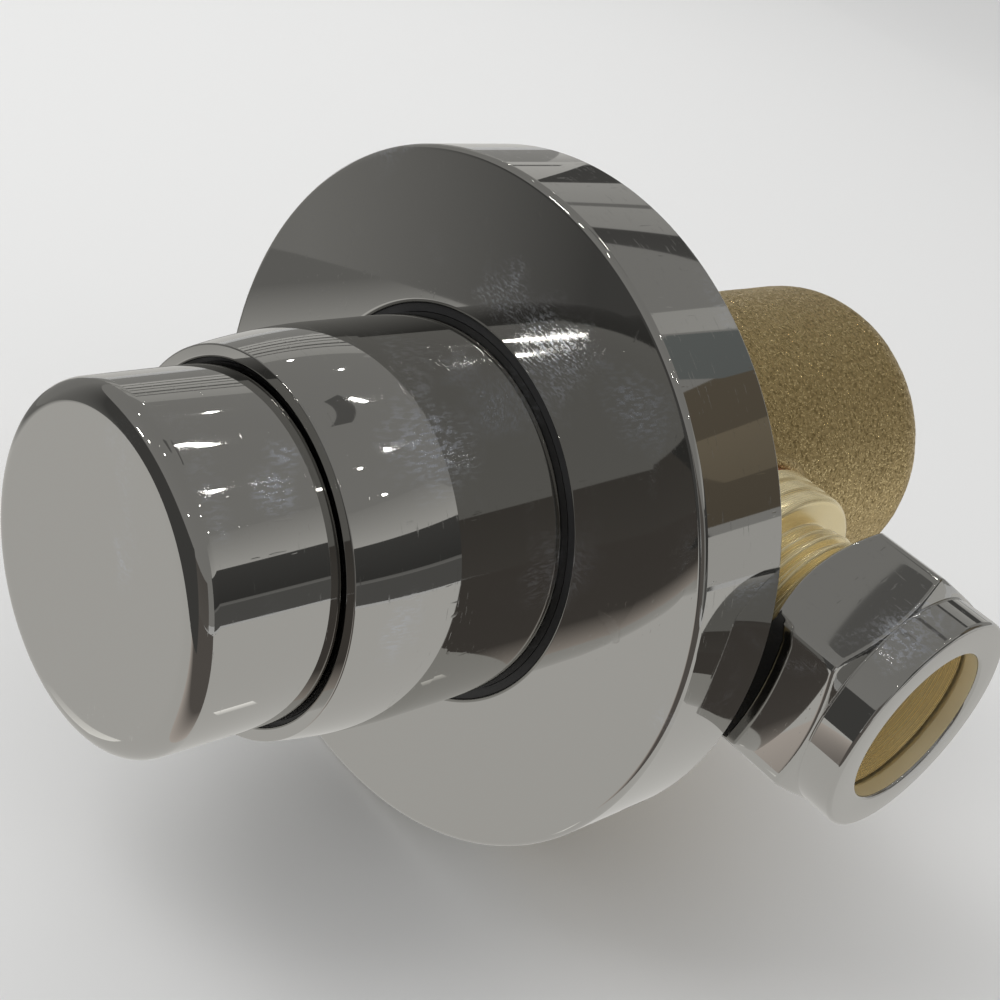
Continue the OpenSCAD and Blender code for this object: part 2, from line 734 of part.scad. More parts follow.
// The hexagon is a six-sided bar, cut by a cone at each end so that its corners are chamfered
module nut(side) color(chrome) difference() {
    union() {
        intersection() {
            translate([side * nut_rear, port_depth, 0]) rotate([nut_turn, 0, 0]) rotate([0, side * 90, 0])
                cylinder(r = nut_corner_r, h = nut_hex_len, $fn = 6);
            piped(side) polygon([
                [0, nut_rear], [nut_af / 2 - nut_face_inset, nut_rear],
                [nut_corner_r + nut_cone_over, nut_rear + nut_rear_chamfer],
                [nut_corner_r + nut_cone_over, nut_hex_front - nut_front_chamfer],
                [nut_af / 2 - nut_face_inset, nut_hex_front], [0, nut_hex_front]]);
        }
        piped(side) difference() {
            span([0, nut_hex_front - cut], [nut_neck_d / 2, nut_front]);
            corner_cut([nut_neck_d / 2, nut_front], [1, 1], nut_neck_edge_r);
        }
    }
    piped(side) {
        span([0, nut_rear - cut], [nut_bore_r, nut_cone_rear]);
        polygon([[0, nut_cone_rear], [nut_bore_r, nut_cone_rear], [socket_r, nut_cone_front],
            [0, nut_cone_front]]);
        span([0, nut_cone_front - cut], [socket_r, nut_front + cut]);
        corner_cut([nut_bore_r, nut_rear], [-1, -1], nut_bore_edge_r);
        corner_cut([socket_r, nut_front], [-1, 1], nut_mouth_edge_r);
    }
}

module inlet_nut() nut(1);
module outlet_nut() nut(-1);

push_button();
button_hub();
hub_screw();
front_collar();
collar_guide_ring();
wall_flange();
flange_ring_seal();
flange_gasket();
valve_body();
cartridge_head();
head_o_ring();
stem_bush();
stem_seal();
seal_retainer();
cartridge_sleeve();
sleeve_o_rings();
valve_stem();
washer_holder();
seat_washer();
washer_nut();
piston();
lip_seal();
piston_clip();
return_spring();
sleeve_end_cap();
metering_pin();
inlet_spigot();
outlet_spigot();
spigot_washers();
inlet_strainer();
flow_restrictor();
inlet_olive();
outlet_olive();
inlet_nut();
outlet_nut();
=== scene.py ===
import bpy
import math
import numpy as np
from mathutils import Matrix, Vector, noise


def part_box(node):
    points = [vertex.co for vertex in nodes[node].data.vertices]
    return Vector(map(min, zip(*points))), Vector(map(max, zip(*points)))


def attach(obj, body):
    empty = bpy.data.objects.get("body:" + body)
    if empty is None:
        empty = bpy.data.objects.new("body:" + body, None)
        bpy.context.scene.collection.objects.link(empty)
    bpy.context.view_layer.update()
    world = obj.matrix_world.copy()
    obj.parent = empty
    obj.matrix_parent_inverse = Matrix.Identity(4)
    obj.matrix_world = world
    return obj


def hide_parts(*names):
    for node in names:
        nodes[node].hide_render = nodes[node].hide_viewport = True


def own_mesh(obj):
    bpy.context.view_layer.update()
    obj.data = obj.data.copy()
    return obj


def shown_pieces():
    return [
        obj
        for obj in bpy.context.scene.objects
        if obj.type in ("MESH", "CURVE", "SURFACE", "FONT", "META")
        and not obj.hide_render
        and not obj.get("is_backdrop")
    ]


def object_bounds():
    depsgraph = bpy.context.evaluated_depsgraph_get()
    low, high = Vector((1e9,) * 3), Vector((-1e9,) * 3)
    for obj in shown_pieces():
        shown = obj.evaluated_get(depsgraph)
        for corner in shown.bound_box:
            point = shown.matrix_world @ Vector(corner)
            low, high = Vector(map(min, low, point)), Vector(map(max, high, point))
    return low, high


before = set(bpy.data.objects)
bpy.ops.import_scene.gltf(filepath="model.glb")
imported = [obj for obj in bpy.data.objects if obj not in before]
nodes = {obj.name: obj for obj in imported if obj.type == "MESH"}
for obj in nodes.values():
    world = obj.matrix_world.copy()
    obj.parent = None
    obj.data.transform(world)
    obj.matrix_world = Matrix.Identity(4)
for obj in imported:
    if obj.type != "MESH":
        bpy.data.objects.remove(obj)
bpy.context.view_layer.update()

mm = 0.001

# The pieces' sizes are in millimetres, and the studio's are in metres. A turned piece is drawn as
# a closed outline of corners (r, h, fillet), where h runs along the piece's axis. On the valve's
# own axis h is the distance in front of the wall, and on a pipe's axis it is the distance from
# the valve's axis.


def nodeBox(name):
    low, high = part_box(name)
    return Vector(low) / mm, Vector(high) / mm


nutLow, nutHigh = nodeBox("inlet_nut")
pipeY = (nutLow.y + nutHigh.y) / 2


def filletedOutline(corners, steps=7):
    # turns the corners into points with their normals; every fillet is a true tangent arc
    leastTurn, share = 0.01, 0.49  # a fillet takes at most this share of the shorter side
    points, normals = [], []
    count = len(corners)
    for i, (r, h, fillet) in enumerate(corners):
        here = Vector((r, h))
        before = Vector(corners[i - 1][:2])
        after = Vector(corners[(i + 1) % count][:2])
        into, out = (here - before).normalized(), (after - here).normalized()
        turn = math.atan2(into.x * out.y - into.y * out.x, into.dot(out))
        if fillet <= 0 or abs(turn) < leastTurn:
            mean = (into + out).normalized()
            points.append((r, h))
            normals.append((mean.y, -mean.x))
            continue
        room = share * min((here - before).length, (after - here).length)
        reach = min(fillet * math.tan(abs(turn) / 2), room)
        radius = reach / math.tan(abs(turn) / 2)
        side = 1 if turn > 0 else -1
        start = here - into * reach
        centre = start + Vector((-into.y, into.x)) * radius * side
        for k in range(steps + 1):
            spoke = Matrix.Rotation(turn * k / steps, 2) @ (start - centre)
            points.append(tuple(centre + spoke))
            normals.append(tuple(spoke.normalized() * side))
    return points, normals


def placeOnAxis(axis, r, h, angle):
    c, s = r * math.cos(angle), r * math.sin(angle)
    if axis == "valve":
        return (c, -h, s)
    if axis == "inlet":
        return (h, pipeY + c, s)
    return (-h, pipeY + c, s)


def newPiece(name, verts, faces, body, material, replaced=None):
    mesh = bpy.data.meshes.new(name)
    mesh.from_pydata([(x * mm, y * mm, z * mm) for x, y, z in verts], [], faces)
    mesh.validate()
    mesh.materials.append(material)
    mesh.shade_smooth()
    piece = bpy.data.objects.new(name, mesh)
    bpy.context.scene.collection.objects.link(piece)
    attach(piece, body)
    if replaced:
        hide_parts(replaced)
    return piece


def turnedPiece(name, axis, corners, body, material, replaced=None, segments=192,
                steps=7, shape=None, angles=None, inside=None):
    # shape(r, h, angle) may move a point of the outline off its circle
    points, normals = filletedOutline(corners, steps)
    angles = angles or [2 * math.pi * k / segments for k in range(segments)]
    around, rows = len(angles), len(points)
    onAxis = [p[0] < 1e-6 for p in points]
    verts, firsts = [], []
    for (r, h), closed in zip(points, onAxis):
        firsts.append(len(verts))
        for angle in angles[:1] if closed else angles:
            radius, along = shape(r, h, angle) if shape else (r, h)
            verts.append(placeOnAxis(axis, radius, along, angle))
    faces = []
    for i in range(rows):
        j = (i + 1) % rows
        if onAxis[i] and onAxis[j]:
            continue
        for k in range(around):
            m = (k + 1) % around
            a, b = firsts[i] + (0 if onAxis[i] else k), firsts[i] + (0 if onAxis[i] else m)
            c, d = firsts[j] + (0 if onAxis[j] else m), firsts[j] + (0 if onAxis[j] else k)
            face = [a]
            for v in (b, c, d):
                if v not in face:
                    face.append(v)
            faces.append(face)
    if axis == "outlet":
        faces = [face[::-1] for face in faces]
    piece = newPiece(name, verts, faces, body, material, replaced)
    if inside:
        # the bare metal of a bore: its material, its radius, and how far along the pipe it goes
        bare, reach, mouth = inside
        piece.data.materials.append(bare)
        for polygon in piece.data.polygons:
            middle = polygon.center / mm
            fromAxis = math.hypot(middle.y - pipeY, middle.z)
            polygon.material_index = int(fromAxis < reach and abs(middle.x) < mouth)
    if not shape:
        origin = Vector(placeOnAxis(axis, 0, 0, 0))
        vertNormals = []
        for (nr, nh), closed in zip(normals, onAxis):
            for angle in angles[:1] if closed else angles:
                flat = placeOnAxis(axis, 0 if closed else nr, nh, angle)
                vertNormals.append((Vector(flat) - origin).normalized())
        piece.data.normals_split_custom_set_from_vertices(vertNormals)
    return piece


def facesOutward(piece):
    # the signed volume of a closed mesh is positive when its faces look outwards
    mesh = piece.data
    mesh.calc_loop_triangles()
    co = np.array([v.co for v in mesh.vertices])
    tri = np.array([t.vertices for t in mesh.loop_triangles])
    a, b, c = co[tri[:, 0]], co[tri[:, 1]], co[tri[:, 2]]
    return float(np.einsum("ij,ij->i", a, np.cross(b, c)).sum()) > 0


print("scene: shader groups")


def newGroup(name, inputs, outputs):
    group = bpy.data.node_groups.new(name, "ShaderNodeTree")
    for label, kind, value in inputs:
        socket = group.interface.new_socket(label, in_out="INPUT", socket_type=kind)
        if value is not None:
            socket.default_value = value
    for label, kind in outputs:
        group.interface.new_socket(label, in_out="OUTPUT", socket_type=kind)
    return group, group.nodes.new("NodeGroupInput"), group.nodes.new("NodeGroupOutput")


def addNode(tree, kind, **settings):
    node = tree.nodes.new(kind)
    for key, value in settings.items():
        if key.startswith("in_"):
            node.inputs[int(key[3:]) if key[3:].isdigit() else key[3:]].default_value = value
        else:
            setattr(node, key, value)
    return node


def addMath(tree, operation, a, b=None, clamp=False):
    node = tree.nodes.new("ShaderNodeMath")
    node.operation = operation
    node.use_clamp = clamp
    for i, value in enumerate((a, b)):
        if value is None:
            continue
        if isinstance(value, (int, float)):
            node.inputs[i].default_value = value
        else:
            tree.links.new(value, node.inputs[i])
    return node.outputs[0]


def addShare(tree, value, mark, amount):
    # the value, raised by an amount where the mark is at its full strength
    return addMath(tree, "ADD", value, addMath(tree, "MULTIPLY", mark, amount))


def addRamp(tree, source, low, high):
    node = addNode(tree, "ShaderNodeMapRange", in_1=low, in_2=high)
    node.interpolation_type = "SMOOTHSTEP"
    tree.links.new(source, node.inputs[0])
    return node.outputs[0]


def objectPoint(tree):
    return addNode(tree, "ShaderNodeTexCoord").outputs["Object"]


def noiseOn(tree, point, scale, detail=3.0, roughness=0.5, distortion=0.0, stretch=None):
    if stretch:
        mapping = addNode(tree, "ShaderNodeMapping")
        mapping.inputs["Scale"].default_value = stretch
        tree.links.new(point, mapping.inputs["Vector"])
        point = mapping.outputs[0]
    node = addNode(tree, "ShaderNodeTexNoise", in_Detail=detail, in_Roughness=roughness,
                   in_Distortion=distortion)
    if isinstance(scale, (int, float)):
        node.inputs["Scale"].default_value = scale
    else:
        tree.links.new(scale, node.inputs["Scale"])
    tree.links.new(point, node.inputs["Vector"])
    return node.outputs["Fac"]


# Where fingers have been: a place on the surface, and how far the mark reaches
touches = (
    (13.4, -31.9, 20.4, 8.0), (9.0, -48.6, 19.0, 2.6), (12.6, -51.6, 16.8, 3.6), (11.1, -12.0, 28.3, 9.0),
    (1.2, -12.0, 31.5, 6.0), (54.3, 10.4, 13.0, 5.0), (-24.0, -12.0, -22.0, 9.0), (-19.0, -40.0, -9.0, 7.0),
)
# A noise is given as its scale on metres, detail, roughness, distortion and stretch, and a ramp as
# the noise's values where a mark starts and where it is full. The patch noise takes its scale from
# the patch size, and the touch ramp is in reaches.
handling = {
    "patchNoise": (2.0, 0.45, 0.6), "patchRamp": (0.62, 0.84), "edgeNoise": (260.0, 3.0, 0.6),
    "touchRamp": (1.5, 0.7), "strokeNoise": (1500.0, 3.0, 0.6, 0.3, (1.0, 0.45, 2.4)),
    "strokeRamp": (0.47, 0.6), "thinnest": 0.12,
    "ringDistortion": 9.0, "ringDetail": 1.5, "ringDetailScale": 0.35,
    "alongNoise": (320.0, 2.0, 0.5, 0.0, (1.0, 14.0, 1.0)), "alongRamp": (0.68, 0.74),
    "acrossNoise": (260.0, 2.0, 0.5, 0.0, (9.0, 1.0, 3.0)), "acrossRamp": (0.69, 0.75),
}


def makeSmudgeGroup(h):
    # patches where fingers have touched the plating, with the fine ridges of the prints in them
    group, given, result = newGroup(
        "handledPlating",
        [("Patch Size", "NodeSocketFloat", 14.0), ("Amount", "NodeSocketFloat", 0.5),
         ("Ridge Pitch", "NodeSocketFloat", 0.47)],
        [("Smudge", "NodeSocketFloat"), ("Ridges", "NodeSocketFloat"), ("Scratches", "NodeSocketFloat")])
    point = objectPoint(group)
    patchScale = addMath(group, "DIVIDE", 1 / mm, given.outputs["Patch Size"])
    patch = addRamp(group, noiseOn(group, point, patchScale, *h["patchNoise"]), *h["patchRamp"])
    edge = noiseOn(group, point, *h["edgeNoise"])
    outer, inner = h["touchRamp"]
    for x, y, z, reach in touches:
        away = addNode(group, "ShaderNodeVectorMath", operation="DISTANCE", in_1=(x * mm, y * mm, z * mm))
        group.links.new(point, away.inputs[0])
        ragged = addShare(group, away.outputs["Value"], edge, reach * mm)
        touch = addRamp(group, ragged, reach * mm * outer, reach * mm * inner)
        patch = addMath(group, "MAXIMUM", patch, touch)
    # the film is broken up into fine strokes, as a dry wipe leaves it
    strokes = noiseOn(group, point, *h["strokeNoise"])
    haze = addMath(group, "ADD", h["thinnest"], addRamp(group, strokes, *h["strokeRamp"]))
    smudge = addMath(group, "MULTIPLY", patch, haze)
    shown = addMath(group, "MULTIPLY", smudge, given.outputs["Amount"], True)
    group.links.new(shown, result.inputs["Smudge"])
    wave = addNode(group, "ShaderNodeTexWave", wave_type="RINGS", in_Distortion=h["ringDistortion"],
                   in_Detail=h["ringDetail"])
    wave.inputs["Detail Scale"].default_value = h["ringDetailScale"]
    ridgeScale = addMath(group, "DIVIDE", 1 / (math.pi * mm), given.outputs["Ridge Pitch"])
    group.links.new(ridgeScale, wave.inputs["Scale"])
    group.links.new(point, wave.inputs["Vector"])
    ridges = addMath(group, "MULTIPLY", wave.outputs["Fac"], smudge)
    group.links.new(ridges, result.inputs["Ridges"])
    along = noiseOn(group, point, *h["alongNoise"])
    across = noiseOn(group, point, *h["acrossNoise"])
    lines = addMath(group, "MAXIMUM", addRamp(group, along, *h["alongRamp"]),
                    addRamp(group, across, *h["acrossRamp"]))
    group.links.new(lines, result.inputs["Scratches"])
    return group


sand = {
    "coarse": 0.6, "coarseDetail": 5.0, "coarseRoughness": 0.62, "pitRamp": (0.55, 0.2), "pitDepth": 0.25,
    "dirtRamp": (0.56, 0.34), "fleckAbove": 0.86,
}


def makeGrainGroup(s):
    # the skin that a sand mould leaves, rubbed by tumbling
    group, given, result = newGroup(
        "sandSkin",
        [("Grain Size", "NodeSocketFloat", 0.5), ("Fleck Size", "NodeSocketFloat", 0.35)],
        [("Height", "NodeSocketFloat"), ("Pits", "NodeSocketFloat"), ("Flecks", "NodeSocketFloat")])
    point = objectPoint(group)
    coarseScale = addMath(group, "DIVIDE", s["coarse"] / mm, given.outputs["Grain Size"])
    coarse = noiseOn(group, point, coarseScale, s["coarseDetail"], s["coarseRoughness"])
    grains = addNode(group, "ShaderNodeTexVoronoi", feature="F1")
    group.links.new(point, grains.inputs["Vector"])
    group.links.new(addMath(group, "DIVIDE", 1 / mm, given.outputs["Grain Size"]), grains.inputs["Scale"])
    pits = addRamp(group, grains.outputs["Distance"], *s["pitRamp"])
    group.links.new(addShare(group, coarse, pits, -s["pitDepth"]), result.inputs["Height"])
    group.links.new(addRamp(group, coarse, *s["dirtRamp"]), result.inputs["Pits"])
    flecks = addNode(group, "ShaderNodeTexVoronoi", feature="F1")
    group.links.new(point, flecks.inputs["Vector"])
    group.links.new(addMath(group, "DIVIDE", 1 / mm, given.outputs["Fleck Size"]), flecks.inputs["Scale"])
    split = addNode(group, "ShaderNodeSeparateColor")
    group.links.new(flecks.outputs["Color"], split.inputs[0])
    bright = addMath(group, "GREATER_THAN", split.outputs[0], s["fleckAbove"])
    group.links.new(bright, result.inputs["Flecks"])
    return group


turning = {"ringDetail": 2.0, "toneNoise": (160.0, 2.0)}


def makeLatheGroup(t):
    # fine turning marks round an axis, seen as rings
    group, given, result = newGroup(
        "turningMarks",
        [("Along", "NodeSocketVector", (0, 1, 0)), ("Pitch", "NodeSocketFloat", 0.12)],
        [("Rings", "NodeSocketFloat"), ("Tone", "NodeSocketFloat")])
    point = objectPoint(group)
    dot = addNode(group, "ShaderNodeVectorMath", operation="DOT_PRODUCT")
    group.links.new(point, dot.inputs[0])
    group.links.new(given.outputs["Along"], dot.inputs[1])
    distance = addMath(group, "MULTIPLY", dot.outputs["Value"], 1 / mm)
    steps = addMath(group, "DIVIDE", distance, given.outputs["Pitch"])
    line = addNode(group, "ShaderNodeTexNoise", noise_dimensions="1D", in_Detail=t["ringDetail"])
    line.inputs["Scale"].default_value = 1.0
    group.links.new(steps, line.inputs["W"])
    group.links.new(line.outputs["Fac"], result.inputs["Rings"])
    group.links.new(noiseOn(group, point, *t["toneNoise"]), result.inputs["Tone"])
    return group


smudgeGroup = makeSmudgeGroup(handling)
grainGroup = makeGrainGroup(sand)
latheGroup = makeLatheGroup(turning)


def newMaterial(name):
    material = bpy.data.materials.new(name)
    material.use_nodes = True
    tree = material.node_tree
    return material, tree, tree.nodes["Principled BSDF"]


def useGroup(tree, group, **values):
    node = tree.nodes.new("ShaderNodeGroup")
    node.node_tree = group
    for key, value in values.items():
        label = "".join(" " + c if c.isupper() else c for c in key).strip().title()
        node.inputs[label].default_value = value
    return node


def mixColour(tree, factor, a, b):
    node = addNode(tree, "ShaderNodeMix", data_type="RGBA")
    tree.links.new(factor, node.inputs["Factor"])
    for value, socket in ((a, node.inputs[6]), (b, node.inputs[7])):
        if isinstance(value, tuple):
            socket.default_value = (*value, 1)
        else:
            tree.links.new(value, socket)
    return node.outputs[2]


def bumpFrom(tree, shader, height, distance):
    bump = addNode(tree, "ShaderNodeBump", in_Strength=1.0, in_Distance=distance * mm)
    tree.links.new(height, bump.inputs["Height"])
    tree.links.new(bump.outputs[0], shader.inputs["Normal"])


def platedMaterial(name, look):
    material, tree, shader = newMaterial(name)
    marks = useGroup(tree, smudgeGroup, patchSize=look["patch"], amount=look["smudge"])
    film = addMath(tree, "MULTIPLY", marks.outputs["Smudge"], look["film"])
    tree.links.new(addMath(tree, "SUBTRACT", 1.0, film), shader.inputs["Metallic"])
    hazy = mixColour(tree, marks.outputs["Smudge"], look["colour"], look["hazeColour"])
    tree.links.new(hazy, shader.inputs["Base Color"])
    rough = addShare(tree, look["roughness"], marks.outputs["Smudge"], look["hazeRoughness"])
    rough = addShare(tree, rough, marks.outputs["Ridges"], look["ridgeRoughness"])
    rough = addShare(tree, rough, marks.outputs["Scratches"], look["scratchRoughness"])
    tree.links.new(rough, shader.inputs["Roughness"])
    ripples = noiseOn(tree, objectPoint(tree), *look["rippleNoise"])
    height = addMath(tree, "MULTIPLY", ripples, look["ripple"])
    height = addShare(tree, height, marks.outputs["Ridges"], look["ridgeHeight"])
    height = addShare(tree, height, marks.outputs["Scratches"], -look["scratchDepth"])
    bumpFrom(tree, shader, height, 1.0)
    return material


chromeLook = {
    "colour": (0.52, 0.516, 0.502), "hazeColour": (0.58, 0.61, 0.68), "film": 0.16,
    "roughness": 0.03, "hazeRoughness": 0.13, "ridgeRoughness": 0.16, "scratchRoughness": 0.08,
    "smudge": 0.7, "patch": 16.0, "ripple": 0.012, "rippleNoise": (45.0, 1.0, 0.4), "ridgeHeight": 0.002,
    "scratchDepth": 0.002,
}
innerChromeLook = dict(chromeLook, colour=(0.5, 0.49, 0.47), roughness=0.22, smudge=0.8)
chrome = platedMaterial("polished chrome", chromeLook)
innerChrome = platedMaterial("unpolished nickel", innerChromeLook)


def castBrassMaterial(name, look):
    material, tree, shader = newMaterial(name)
    skin = useGroup(tree, grainGroup, grainSize=look["grain"], fleckSize=look["fleck"])
    cloud = noiseOn(tree, objectPoint(tree), *look["cloudNoise"])
    base = mixColour(tree, cloud, look["dark"], look["light"])
    dirty = mixColour(tree, skin.outputs["Pits"], base, look["pit"])
    flecked = mixColour(tree, skin.outputs["Flecks"], dirty, look["fleckColour"])
    tree.links.new(flecked, shader.inputs["Base Color"])
    shader.inputs["Metallic"].default_value = 1
    rough = addShare(tree, look["roughness"], skin.outputs["Flecks"], -look["fleckShine"])
    rough = addShare(tree, rough, skin.outputs["Pits"], look["pitRoughness"])
    tree.links.new(rough, shader.inputs["Roughness"])
    bumpFrom(tree, shader, skin.outputs["Height"], look["bump"])
    return material


castLook = {
    "dark": (0.54, 0.405, 0.185), "light": (0.72, 0.56, 0.28), "pit": (0.34, 0.25, 0.105),
    "fleckColour": (0.96, 0.76, 0.38), "fleckShine": 0.3, "pitRoughness": 0.15, "roughness": 0.46,
    "grain": 0.34, "fleck": 0.22, "cloudNoise": (70.0, 3.0), "bump": 0.17,
}
castBrass = castBrassMaterial("sand cast brass", castLook)


def turnedMaterial(name, look, along):
    material, tree, shader = newMaterial(name)
    marks = useGroup(tree, latheGroup, pitch=look["pitch"])
    marks.inputs["Along"].default_value = along
    tone = mixColour(tree, marks.outputs["Tone"], look["dark"], look["light"])
    tree.links.new(tone, shader.inputs["Base Color"])
    shader.inputs["Metallic"].default_value = look["metal"]
    rough = addShare(tree, look["roughness"], marks.outputs["Rings"], look["ringRoughness"])
    tree.links.new(rough, shader.inputs["Roughness"])
    bumpFrom(tree, shader, marks.outputs["Rings"], look["bump"])
    return material


brassLook = {
    "dark": (0.92, 0.76, 0.42), "light": (1.0, 0.88, 0.56), "metal": 0.72, "roughness": 0.18,
    "ringRoughness": 0.16, "pitch": 0.14, "bump": 0.008,
}
# a rougher bored finish of the machined brass for the bores; its colour is also painted paler and lighter,
# as painted light for the light that bounces about inside the holes
boreLookPaintedLighter = dict(brassLook, roughness=0.42, metal=0.75, bump=0.003, dark=(0.94, 0.84, 0.6),
                light=(0.98, 0.9, 0.68))
steelLook = {
    "dark": (0.48, 0.48, 0.47), "light": (0.62, 0.62, 0.61), "metal": 1.0, "roughness": 0.2,
    "ringRoughness": 0.12, "pitch": 0.08, "bump": 0.004,
}
acetalLook = {
    "dark": (0.76, 0.74, 0.67), "light": (0.86, 0.84, 0.78), "metal": 0.0, "roughness": 0.35,
    "ringRoughness": 0.15, "pitch": 0.18, "bump": 0.006,
}
pipeWay, valveWay = (1, 0, 0), (0, 1, 0)
pipeBrass = turnedMaterial("machined brass", brassLook, pipeWay)
boreBrassPaintedLighter = turnedMaterial("bored brass painted lighter", boreLookPaintedLighter, pipeWay)
valveBrass = turnedMaterial("machined brass on the valve axis", brassLook, valveWay)
steel = turnedMaterial("bright steel", steelLook, valveWay)
pipeSteel = turnedMaterial("pressed steel", steelLook, pipeWay)
acetal = turnedMaterial("machined acetal", acetalLook, valveWay)


# A noise's detail and roughness here; its scale comes from the sizes of the look
moulding = {"patchDetail": 3.0, "grainNoise": (4.0, 0.6), "grainRoughness": 0.2}


def mouldedMaterial(name, look):
    material, tree, shader = newMaterial(name)
    point = objectPoint(tree)
    patch = noiseOn(tree, point, 1 / (look["patch"] * mm), moulding["patchDetail"])
    tree.links.new(mixColour(tree, patch, look["dark"], look["light"]), shader.inputs["Base Color"])
    grain = noiseOn(tree, point, 1 / (look["grain"] * mm), *moulding["grainNoise"])
    rough = addShare(tree, look["roughness"], grain, moulding["grainRoughness"])
    tree.links.new(rough, shader.inputs["Roughness"])
    bumpFrom(tree, shader, grain, look["bump"])
    return material


rubber = mouldedMaterial("black rubber", {
    "dark": (0.012, 0.012, 0.013), "light": (0.03, 0.03, 0.031), "patch": 6.0, "grain": 0.5,
    "roughness": 0.42, "bump": 0.03})
foam = mouldedMaterial("black foam", {
    "dark": (0.02, 0.02, 0.021), "light": (0.06, 0.06, 0.062), "patch": 2.0, "grain": 0.35,
    "roughness": 0.75, "bump": 0.25})
blackPlastic = mouldedMaterial("black plastic", {
    "dark": (0.018, 0.018, 0.02), "light": (0.035, 0.035, 0.037), "patch": 8.0, "grain": 0.3,
    "roughness": 0.3, "bump": 0.02})
greenPlastic = mouldedMaterial("green plastic", {
    "dark": (0.05, 0.28, 0.13), "light": (0.08, 0.38, 0.18), "patch": 5.0, "grain": 0.3,
    "roughness": 0.35, "bump": 0.02})
fibre = mouldedMaterial("red fibre", {
    "dark": (0.25, 0.05, 0.03), "light": (0.42, 0.11, 0.06), "patch": 1.2, "grain": 0.25,
    "roughness": 0.6, "bump": 0.06})

print("scene: chrome trim")

buttonLow, buttonHigh = nodeBox("push_button")
button = {
    "radius": (buttonHigh.x - buttonLow.x) / 2, "front": -buttonLow.y, "rear": -buttonHigh.y,
    "edge": 2.6, "dish": 0.4, "wall": 1.6, "faceThickness": 2.4, "rearEdge": 0.25, "innerEdge": 0.8,
    "dishSteps": 24, "edgeSteps": 12, "segments": 256,
}


def buttonCorners(b):
    flat = b["radius"] - b["edge"]
    sphere = (flat * flat + b["dish"] ** 2) / (2 * b["dish"])
    dish = []
    for i in range(b["dishSteps"] + 1):
        r = flat * i / b["dishSteps"]
        dish.append((r, b["front"] - b["dish"] + sphere - math.sqrt(sphere * sphere - r * r), 0))
    inner = b["radius"] - b["wall"]
    floor = b["front"] - b["faceThickness"]
    edge = []
    for i in range(1, b["edgeSteps"] + 1):
        t = math.pi / 2 * (1 - i / b["edgeSteps"])
        edge.append((flat + b["edge"] * math.cos(t), b["front"] - b["edge"] + b["edge"] * math.sin(t), 0))
    rear = [(b["radius"], b["rear"], b["rearEdge"]), (inner, b["rear"], b["rearEdge"]),
            (inner, floor, b["innerEdge"]), (0, floor, 0)]
    return (dish + edge + rear)[::-1]


turnedPiece("pushButton", "valve", buttonCorners(button), "button", chrome, "push_button",
            button["segments"])


def grooveCorners(piece, bore):
    # the groove for a ring in the wall of a bore, from the front to the rear
    levels = ((bore, "grooveFront"), (piece["groove"], "grooveFront"),
              (piece["groove"], "grooveRear"), (bore, "grooveRear"))
    return [(radius, piece[level], piece["grooveEdge"]) for radius, level in levels]


collarLow, collarHigh = nodeBox("front_collar")
collar = {
    "radius": (collarHigh.x - collarLow.x) / 2, "front": -collarLow.y, "rear": -collarHigh.y,
    "mouth": 21.5, "noseFront": 23.1, "noseLength": 14.0, "noseArc": 90.0, "noseSteps": 24,
    "mouthEdge": 0.35, "noseEdge": 0.2, "crest": 0.25, "bore": 22.8, "step": 38.0, "stepEdge": 0.1,
    "grooveRear": 41.28, "grooveFront": 43.82, "groove": 22.37, "grooveEdge": 0.05, "rearEdge": 0.2,
    "segments": 256,
}


def collarCorners(c):
    noseRear = c["front"] - c["noseLength"]
    nose = []
    a, b = Vector((c["radius"], noseRear)), Vector((c["noseFront"], c["front"]))
    along = (b - a).normalized()
    outward = Vector((along.y, -along.x))
    half = (b - a).length / 2
    centre = (a + b) / 2 - outward * math.sqrt(c["noseArc"] ** 2 - half * half)
    start = math.atan2(a.y - centre.y, a.x - centre.x)
    end = math.atan2(b.y - centre.y, b.x - centre.x)
    for i in range(1, c["noseSteps"]):
        t = start + (end - start) * i / c["noseSteps"]
        nose.append((centre.x + c["noseArc"] * math.cos(t), centre.y + c["noseArc"] * math.sin(t), 0))
    return ([(c["radius"], c["rear"], c["rearEdge"]), (c["radius"], noseRear, c["crest"])] + nose
            + [(c["noseFront"], c["front"], c["noseEdge"]), (c["mouth"], c["front"], c["mouthEdge"])]
            + grooveCorners(c, c["mouth"])
            + [(c["mouth"], c["step"], c["stepEdge"]), (c["bore"], c["step"], c["stepEdge"]),
               (c["bore"], c["rear"], c["rearEdge"])])


turnedPiece("frontCollar", "valve", collarCorners(collar), "valve", chrome, "front_collar",
            collar["segments"])

flangeLow, flangeHigh = nodeBox("wall_flange")
flange = {
    "radius": (flangeHigh.x - flangeLow.x) / 2, "front": -flangeLow.y, "edge": 0.8, "lip": 0.6, "rim": 1.5,
    "rimEdge": 0.3, "face": 1.8, "bore": 25.6, "boreEdge": 0.2, "hub": 28.2, "hubRear": 7.2, "hubEdge": 0.3,
    "hubFoot": 1.0, "cupCorner": 1.5, "groove": 26.8, "grooveRear": 8.58, "grooveFront": 12.02,
    "grooveEdge": 0.1, "dullDepth": 0.4, "dullEdge": 0.6, "segments": 288, "steps": 9,
}


def flangeCorners(f):
    inner = f["radius"] - f["rim"]
    back = f["front"] - f["face"]
    return ([(f["radius"], 0, f["rimEdge"]), (f["radius"], f["front"], f["edge"]),
             (f["bore"], f["front"], f["lip"])] + grooveCorners(f, f["bore"])
            + [(f["bore"], f["hubRear"], f["boreEdge"]), (f["hub"], f["hubRear"], f["hubEdge"]),
               (f["hub"], back, f["hubFoot"]), (inner, back, f["cupCorner"]), (inner, 0, f["rimEdge"])])


